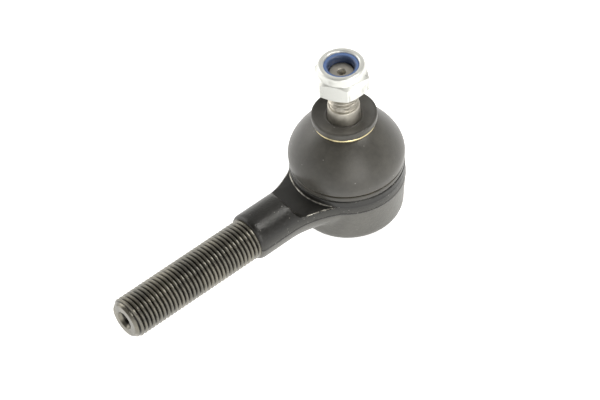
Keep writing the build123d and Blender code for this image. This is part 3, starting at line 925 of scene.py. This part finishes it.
class TIEROD_OT_closing_plate(bpy.types.Operator):
    """Build the dished steel plate that closes the cup"""

    bl_idname = "tie_rod.closing_plate"
    bl_label = "Closing Plate"

    def execute(self, context):
        radius, low, high = plate_high.x, plate_low.z, plate_high.z
        dish_rim, dish, slope = radius - 2.3 * MM, 0.4 * MM, 1.2 * MM
        outline = [
            (0.0, high), (radius, high, 0.15 * MM), (radius, low, 0.2 * MM),
            (dish_rim, low, 0.5 * MM), (dish_rim - slope, low + dish, 0.5 * MM),
            (4.0 * MM, low + dish), (0.0, low + dish),
        ]
        bm = bmesh.new()
        spin_outline(bm, rounded(outline), steps=144, closed=False)
        finish = context.scene.tie_rod.finish
        piece = finished(bm, "closing_plate_disc", [plate_coat(finish)])
        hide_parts("closing_plate")
        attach(piece, "housing")
        return {"FINISHED"}


class TIEROD_OT_hidden_parts(bpy.types.Operator):
    """Give the ball seats and the preload spring their finishes"""

    bl_idname = "tie_rod.hidden_parts"
    bl_label = "Seats and Spring"

    def execute(self, context):
        finish = context.scene.tie_rod.finish
        polymer, spring = seat_polymer(finish), phosphated_spring(finish)
        for node, material in (("upper_seat", polymer), ("lower_seat", polymer), ("preload_spring", spring)):
            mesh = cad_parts[node].data
            mesh.materials.clear()
            mesh.materials.append(material)
        return {"FINISHED"}


class TIEROD_OT_ball_stud(bpy.types.Operator):
    """Build the ball stud with its taper, relief and thread"""

    bl_idname = "tie_rod.ball_stud"
    bl_label = "Ball Stud"

    def execute(self, context):
        sizes, finish = context.scene.tie_rod.stud, context.scene.tie_rod.finish
        top, thread_start = sizes.top, 33.1 * MM
        end_radius, end_chamfer = 3.85 * MM, 1.0 * MM
        relief, lead_slope = 4.2 * MM, 1.2

        def limit(height):
            lead_in = relief + (height - thread_start) * lead_slope
            lead_out = end_radius + (top - height) * (sizes.thread_radius - end_radius) / end_chamfer
            return 0.0, min(lead_in, lead_out)

        bm = bmesh.new()
        helical_thread(bm, sizes.thread_radius, sizes.thread_pitch, thread_start, top, steps=80, limit=limit)
        mouth_radius, pilot_radius, pilot_depth = 1.45 * MM, 0.6 * MM, 1.5 * MM
        extend(bm, loop_at(bm, top), drilled_end(top, end_radius, mouth_radius, pilot_radius, pilot_depth))
        ball, neck, fillet = sizes.ball_radius, sizes.neck_radius, 1.0 * MM
        fillet_z = math.sqrt((ball + fillet) ** 2 - (neck + fillet) ** 2)
        leave = math.atan2(fillet_z, neck + fillet)
        flat = 3.5 * MM
        flat_z = -math.sqrt(ball**2 - flat**2)
        taper, taper_small, taper_top = sizes.taper_radius, sizes.taper_radius - 0.7 * MM, 31.6 * MM
        stem = [
            (relief, thread_start), (relief, taper_top, 0.35 * MM),
            (taper_small, taper_top, 0.35 * MM), (taper, 17.6 * MM), (taper, 16.8 * MM, 0.4 * MM),
            (neck, 15.2 * MM, 0.6 * MM), (neck, fillet_z),
        ]
        fillet_line = arc((neck + fillet, fillet_z), fillet, math.pi, math.pi + leave, 6)
        ball_line = arc((0.0, 0.0), ball, leave, math.atan2(flat_z, flat), 48)
        foot = [(flat - 0.2 * MM, flat_z), (0.0, flat_z)]
        stations = rounded(stem, segments=4)[1:] + fillet_line[1:] + ball_line[1:] + foot
        extend(bm, loop_at(bm, thread_start), stations)
        clean(bm, 1e-6)
        piece = finished(bm, "ball_stud_turned", [ground_steel(finish)], sharp=38.0)
        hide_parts("ball_stud")
        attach(piece, "stud")
        return {"FINISHED"}


def boot_outline(sizes, neck_top, wall):
    """The boot's whole section: foot, lip, groove, dome, neck, flange, hub and inside."""
    foot = boot_low.z
    lip, lip_top, groove_top = 18.85 * MM, foot + 1.75 * MM, foot + 3.0 * MM
    groove, hug = lip - 1.3 * MM, 16.81 * MM
    droop, shoulder = groove_top - 0.45 * MM, 10.0 * MM
    dome, neck, flange = sizes.dome_radius, sizes.neck_radius, sizes.flange_radius
    under, rim, dish = 24.9 * MM, sizes.flange_height, sizes.flange_height - 1.2 * MM
    hub, inside = 5.54 * MM, neck_top - wall
    lower = [
        (hug, groove_top + 0.2 * MM), (hug, foot, 0.2 * MM), (lip, foot, 0.4 * MM),
        (lip, lip_top, 0.35 * MM), (groove, lip_top, 0.25 * MM), (groove, groove_top, 0.25 * MM),
        (dome - 0.55 * MM, groove_top, 0.1 * MM), (dome - 0.4 * MM, droop, 0.15 * MM),
        (dome - 0.1 * MM, droop, 0.15 * MM), (dome, shoulder),
    ]
    dome_handles = (dome, shoulder + 4.8 * MM), (12.6 * MM, neck_top - 1.9 * MM)
    upper = [
        (neck, neck_top), (neck, under, 0.25 * MM), (flange, under, 0.6 * MM),
        (flange, rim, 0.45 * MM), (flange - 0.7 * MM, rim - 0.02 * MM, 0.3 * MM),
        (flange - 2.2 * MM, dish + 0.55 * MM, 0.9 * MM),
        (hub + 0.9 * MM, dish + 0.1 * MM, 0.2 * MM), (hub + 0.6 * MM, dish + 0.25 * MM, 0.2 * MM),
        (hub, dish + 0.15 * MM, 0.15 * MM), (hub + 0.18 * MM, inside, 0.3 * MM), (neck, inside),
    ]
    inner_handles = (12.0 * MM, inside - 1.8 * MM), (dome - wall, shoulder + 4.3 * MM)
    dome_line = bezier((dome, shoulder), *dome_handles, (neck, neck_top), 110)
    inner_line = bezier((neck, inside), *inner_handles, (dome - wall, shoulder), 60)
    lower, upper = rounded(lower, segments=4), rounded(upper, segments=4)
    return lower + dome_line[1:] + upper[1:] + inner_line[1:-1], groove_top


class TIEROD_OT_dust_boot(bpy.types.Operator):
    """Build the rubber boot in two lengths, cut apart at the bend height"""

    bl_idname = "tie_rod.dust_boot"
    bl_label = "Dust Boot"

    def execute(self, context):
        sizes = context.scene.tie_rod.boot
        neck_top, wall = 23.8 * MM, 1.6 * MM
        outline, groove_top = boot_outline(sizes, neck_top, wall)
        bend = (0.0, 0.0, sizes.bend_height)
        beside_bend = 0.03 * MM
        material = boot_rubber(context.scene.tie_rod.finish, sizes.bend_height)
        for name, keep_above in (("dust_boot_skirt", False), ("dust_boot_crown", True)):
            bm = bmesh.new()
            spin_outline(bm, outline, steps=160)
            for height in (sizes.bend_height - beside_bend, sizes.bend_height + beside_bend):
                cut_plane(bm, (0, 0, height), UP)
            cut_plane(bm, bend, UP, outer=not keep_above, inner=keep_above)
            bmesh.ops.bridge_loops(bm, edges=open_edges(bm))
            clean(bm)
            if keep_above:
                self.add_pips(bm, sizes)
            piece = finished(bm, name, [material], sharp=40.0)
            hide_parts("dust_boot")
            if keep_above:
                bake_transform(piece)
            else:
                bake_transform(piece)
        return {"FINISHED"}

    def add_pips(self, bm, sizes):
        inset, sink, radius = 0.42 * MM, 0.28 * MM, 0.27 * MM
        for bearing in PIP_BEARINGS:
            place = from_bearing(math.radians(bearing), 0.0) * (sizes.flange_radius - inset)
            place.z = sizes.flange_height - sink
            spot = Matrix.Translation(place)
            bmesh.ops.create_uvsphere(bm, u_segments=12, v_segments=8, radius=radius, matrix=spot)


class TIEROD_OT_wire_rings(bpy.types.Operator):
    """Build the two wire rings that hold the boot, each cut at the back"""

    bl_idname = "tie_rod.wire_rings"
    bl_label = "Clamp Rings"

    def execute(self, context):
        wire = context.scene.tie_rod.boot.wire_radius
        brass = brass_wire(context.scene.tie_rod.finish)
        rings = (
            ("upper_clamp_wire", "upper_clamp_ring", "boot_top", upper_ring_low, upper_ring_high),
            ("lower_clamp_wire", "lower_clamp_ring", "housing", lower_ring_low, lower_ring_high),
        )
        gap, gap_bearing = math.radians(5), math.radians(205)
        upright = Matrix.Rotation(math.radians(90), 4, "X")
        for name, node, body, low, high in rings:
            place = Matrix.Translation((high.x - wire, 0.0, (low.z + high.z) / 2))
            bm = bmesh.new()
            bmesh.ops.create_circle(bm, segments=20, radius=wire, matrix=place @ upright)
            spin(bm, bm.verts[:] + bm.edges[:], steps=150, turn=TURN - gap)
            caps = bmesh.ops.holes_fill(bm, edges=open_edges(bm))["faces"]
            bevel(bm, list({e for f in caps for e in f.edges}), 0.12 * MM, 3)
            bm.transform(Matrix.Rotation(gap_bearing, 4, "Z"))
            clean(bm)
            piece = finished(bm, name, [brass])
            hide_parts(node)
            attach(piece, body)
        return {"FINISHED"}


class TIEROD_OT_lock_nut(bpy.types.Operator):
    """Build the zinc-plated lock nut with its crimped collar and its own thread"""

    bl_idname = "tie_rod.lock_nut"
    bl_label = "Lock Nut"

    def execute(self, context):
        settings = context.scene.tie_rod
        sizes, stud = settings.nut, settings.stud
        base, top = sizes.base, sizes.top
        collar, lip = sizes.collar_radius, sizes.lip_radius
        chamfer = math.tan(math.radians(30))
        reach = sizes.half_flats / math.cos(math.radians(30)) + 0.4 * MM
        drop = (reach - collar) * chamfer
        hex_top = base + 6.4 * MM
        collar_foot, crest = hex_top + 1.2 * MM, (collar + lip) / 2 - 0.1 * MM
        play = 0.03 * MM
        bore, pocket = stud.thread_radius + play, insert_high.x + play
        pocket_floor, pocket_top = insert_low.z - play, top - 0.8 * MM
        thread_low, thread_top = base + 0.55 * MM, pocket_floor - 0.05 * MM

        def limit(height):
            return 0.0, bore + 0.2 * MM

        bm = bmesh.new()
        helical_thread(bm, bore, stud.thread_pitch, thread_low, thread_top, steps=80, limit=limit)
        outside = [
            (bore, thread_low), (bore + 0.75 * MM, base, 0.1 * MM), (collar, base, 0.12 * MM),
            (reach, base + drop), (reach, hex_top - drop), (collar, hex_top, 0.3 * MM),
            (collar, collar_foot),
        ]
        crimp_handles = (collar, top - 0.45 * MM), (collar - 0.15 * MM, top)
        crimp = bezier((collar, collar_foot), *crimp_handles, (crest, top), 12)
        curl_handles = (lip + 0.35 * MM, top), (lip, top - 0.15 * MM)
        curl = bezier((crest, top), *curl_handles, (lip, pocket_top + 0.1 * MM), 8)
        pocket_line = [
            (lip, pocket_top), (pocket, pocket_top), (pocket, pocket_floor),
            (bore + 0.1 * MM, pocket_floor),
        ]
        stations = rounded(outside)[1:] + crimp[1:] + curl[1:] + pocket_line
        end = extend(bm, loop_at(bm, thread_low), stations)
        bmesh.ops.bridge_loops(bm, edges=end + loop_at(bm, thread_top))
        clean(bm, 1e-6)
        for number in range(6):
            facing = from_bearing(math.radians(60 * number + 30), 0.0)
            rim = cut_plane(bm, facing * sizes.half_flats, facing, near=1e-7, outer=True)
            bmesh.ops.holes_fill(bm, edges=only(BMEdge, rim))
        clean(bm, 1e-6)
        zinc = zinc_plate(settings.finish)
        piece = finished(bm, "lock_nut_body", [zinc], sharp=18.0)
        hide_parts("nut_body")
        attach(piece, "nut")
        return {"FINISHED"}


class TIEROD_OT_nylon_ring(bpy.types.Operator):
    """Build the nut's nylon locking ring"""

    bl_idname = "tie_rod.nylon_ring"
    bl_label = "Nylon Ring"

    def execute(self, context):
        low, high, outer, bore = insert_low.z, insert_high.z, insert_high.x, 4.15 * MM
        foot, top_flat = (bore + 0.8 * MM, low), outer - 1.6 * MM
        outline = [
            foot,
            (outer - 0.5 * MM, low), (outer, low + 0.5 * MM), (outer, high), (top_flat, high),
            (bore + 0.35 * MM, high - 0.1 * MM, 0.4 * MM), (bore, high - 0.9 * MM, 0.4 * MM),
            (bore, low, 0.3 * MM),
            foot,
        ]
        bm = bmesh.new()
        spin_outline(bm, rounded(outline, segments=4)[:-1], steps=120)
        finish = context.scene.tie_rod.finish
        piece = finished(bm, "nylon_locking_ring", [blue_nylon(finish)], sharp=40.0)
        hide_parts("nylon_insert")
        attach(piece, "nut_carrier")
        return {"FINISHED"}


# --- stage ---


class TIEROD_OT_studio(bpy.types.Operator):
    """Lay the pale floor and place the soft lights and the camera"""

    bl_idname = "tie_rod.studio"
    bl_label = "Studio"

    def execute(self, context):
        settings = context.scene.tie_rod.studio
        lay_floor(settings)
        light_world(context.scene)
        aim = Vector(settings.aim)
        softbox("key_softbox", aim, azimuth=134, elevation=60, reach=0.356, size=0.1, power=0.55)
        softbox("front_softbox", aim, azimuth=72, elevation=24, reach=0.75, size=0.4, power=2.2)
        softbox("left_softbox", aim, azimuth=-70, elevation=32, reach=0.8, size=0.5, power=2.6)
        softbox("rear_softbox", aim, azimuth=233, elevation=48, reach=0.8, size=0.8, power=1.1)
        place_camera(context.scene, settings, aim)
        context.scene.view_settings.view_transform = "Standard"
        return {"FINISHED"}


def lay_floor(settings):
    gap, half_side = 0.05 * MM, 3.0
    bm = bmesh.new()
    bmesh.ops.create_grid(bm, x_segments=8, y_segments=8, size=half_side)
    bm.transform(Matrix.Translation((0, 0, housing_low.z - gap)))
    made = Surface("pale_floor", Roughness=0.9, Specular_IOR_Level=0.1, Emission_Strength=0.8)
    made.feed(Emission_Color=(1.0, 1.0, 1.0, 1.0))
    made.feed(Base_Color=made.tones(made.mottle(14.0), settings.floor_colour, 0.99, 1.0))
    floor = finished(bm, "floor", [made.material])


def light_world(scene):
    """A white sweep up to the horizon that falls away to a dim ceiling."""
    ceiling, horizon = 0.13, 1.5
    world = bpy.data.worlds.new("studio_world")
    world.use_nodes = True
    nodes = Nodes(world.node_tree)
    background = nodes.tree.nodes["Background"]
    nodes.join((1.0, 0.985, 0.95, 1.0), background.inputs["Color"])
    place = nodes.add("ShaderNodeMapping", Vector=nodes.add("ShaderNodeTexCoord")["Generated"])[0]
    sweep = nodes.ramp(nodes.add("ShaderNodeSeparateXYZ", Vector=place)["Z"], 0.5, 0.12)
    nodes.join(nodes.between(sweep, ceiling, horizon), background.inputs["Strength"])
    scene.world = world


def from_bearing(azimuth, elevation):
    """The direction from the object towards this bearing and height, in radians."""
    level = math.cos(elevation)
    return Vector((level * math.cos(azimuth), level * math.sin(azimuth), math.sin(elevation)))


def facing_object(aim, direction, reach):
    """A place this far from the aim, turned to look at it."""
    turned = direction.to_track_quat("Z", "Y").to_matrix().to_4x4()
    return Matrix.Translation(aim + direction * reach) @ turned


def softbox(name, aim, azimuth, elevation, reach, size, power):
    """A large square light that faces the object."""
    light = bpy.data.lights.new(name, "AREA")
    light.shape = "SQUARE"
    light.size = size
    light.energy = power
    light.color = (1.0, 0.98, 0.94)
    lamp = bpy.data.objects.new(name, light)
    direction = from_bearing(math.radians(azimuth), math.radians(elevation))
    lamp.matrix_world = facing_object(aim, direction, reach)
    bpy.context.scene.collection.objects.link(lamp)


def place_camera(scene, settings, aim):
    lens = bpy.data.cameras.new("camera")
    lens.lens = settings.lens
    lens.sensor_width = 36.0
    lens.clip_start = 0.01
    lens.clip_end = 20.0
    camera = bpy.data.objects.new("camera", lens)
    direction = from_bearing(settings.azimuth, settings.elevation)
    roll = Matrix.Rotation(settings.roll, 4, "Z")
    camera.matrix_world = facing_object(aim, direction, settings.camera_distance) @ roll
    scene.collection.objects.link(camera)
    scene.camera = camera


# --- panel and registration ---

STEPS = (
    TIEROD_OT_forging, TIEROD_OT_closing_plate,
    TIEROD_OT_hidden_parts, TIEROD_OT_ball_stud,
    TIEROD_OT_dust_boot, TIEROD_OT_wire_rings,
    TIEROD_OT_lock_nut, TIEROD_OT_nylon_ring,
    TIEROD_OT_studio,
)


class TIEROD_PT_panel(bpy.types.Panel):
    """The tie rod end's pieces"""

    bl_idname = "TIEROD_PT_panel"
    bl_label = "Tie Rod End"
    bl_space_type = "VIEW_3D"
    bl_region_type = "UI"
    bl_category = "Tie Rod"

    def draw(self, context):
        for step in STEPS:
            self.layout.operator(step.bl_idname)


CLASSES = (
    HousingSettings, StudSettings,
    BootSettings, NutSettings,
    FinishSettings, StudioSettings,
    TieRodSettings, *STEPS,
    TIEROD_PT_panel,
)
EFFECTS = (build_mottle, build_grain, build_edge_wear, build_specks, build_tool_rings)


def register():
    for item in CLASSES:
        bpy.utils.register_class(item)
    bpy.types.Scene.tie_rod = PointerProperty(type=TieRodSettings)


def unregister():
    del bpy.types.Scene.tie_rod
    for item in reversed(CLASSES):
        bpy.utils.unregister_class(item)


def main():
    register()
    for build in EFFECTS:
        build()
    for step in STEPS:
        group, name = step.bl_idname.split(".")
        getattr(getattr(bpy.ops, group), name)()


if __name__ == "__main__":
    main()
